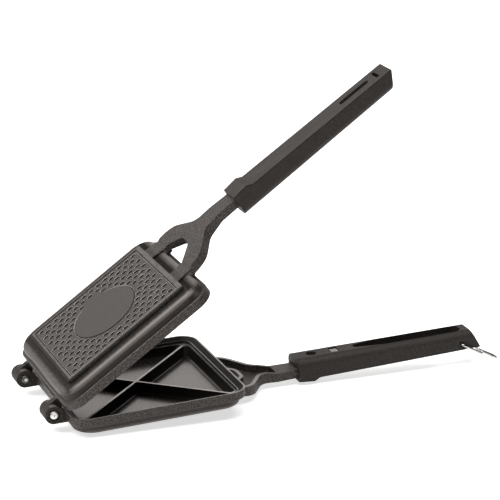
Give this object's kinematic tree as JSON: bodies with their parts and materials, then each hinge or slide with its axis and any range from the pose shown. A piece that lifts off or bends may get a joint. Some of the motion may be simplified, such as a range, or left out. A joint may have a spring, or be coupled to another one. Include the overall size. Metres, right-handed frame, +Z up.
{
  "type": "pie iron",
  "caption": "Stovetop pie iron: hinged cast square pans with crossed ridges inside, long moulded handles and a wire bail that latches them shut.",
  "frame": {"origin": "centre of the lower pan's base, on the blank oval, as the iron stands on its heel and the bail's nose", "axes": "+X from the hinge to the handles, +Y to the far side, +Z up; the lower half stands tilted about 4 degrees, handle end up"},
  "size_m": [0.3711, 0.13, 0.2351],
  "materials": {
    "coated_aluminium": "dark grey-brown non-stick coating, satin, fine grain",
    "black_moulding": "black phenolic moulding, matt",
    "rivet_steel": "bright steel rivet",
    "zinc_steel": "zinc-plated steel",
    "spring_wire": "bright drawn spring wire"
  },
  "bodies": {
    "lower": {"lower_pan": "coated_aluminium", "hinge_rivet_near": "rivet_steel", "hinge_rivet_far": "rivet_steel", "lower_handle": "black_moulding", "lower_handle_screw": "zinc_steel", "lower_screw_washer": "zinc_steel"},
    "lid": {"upper_pan": "coated_aluminium", "upper_handle": "black_moulding", "upper_handle_screw": "zinc_steel", "upper_screw_washer": "zinc_steel"},
    "bail": {"bail": "spring_wire"}
  },
  "joints": [
    {"name": "lid_hinge", "type": "hinge", "parent": "lower", "child": "lid", "pos_m": [-0.07525, 0, 0.01075], "axis": [0, 1, 0], "range_deg": [-137.5, 32.5]},
    {"name": "bail_pivot", "type": "hinge", "parent": "lower", "child": "bail", "pos_m": [0.25428, 0, 0.01479], "axis": [0, -1, 0], "range_deg": [0, 112.22]}
  ]
}
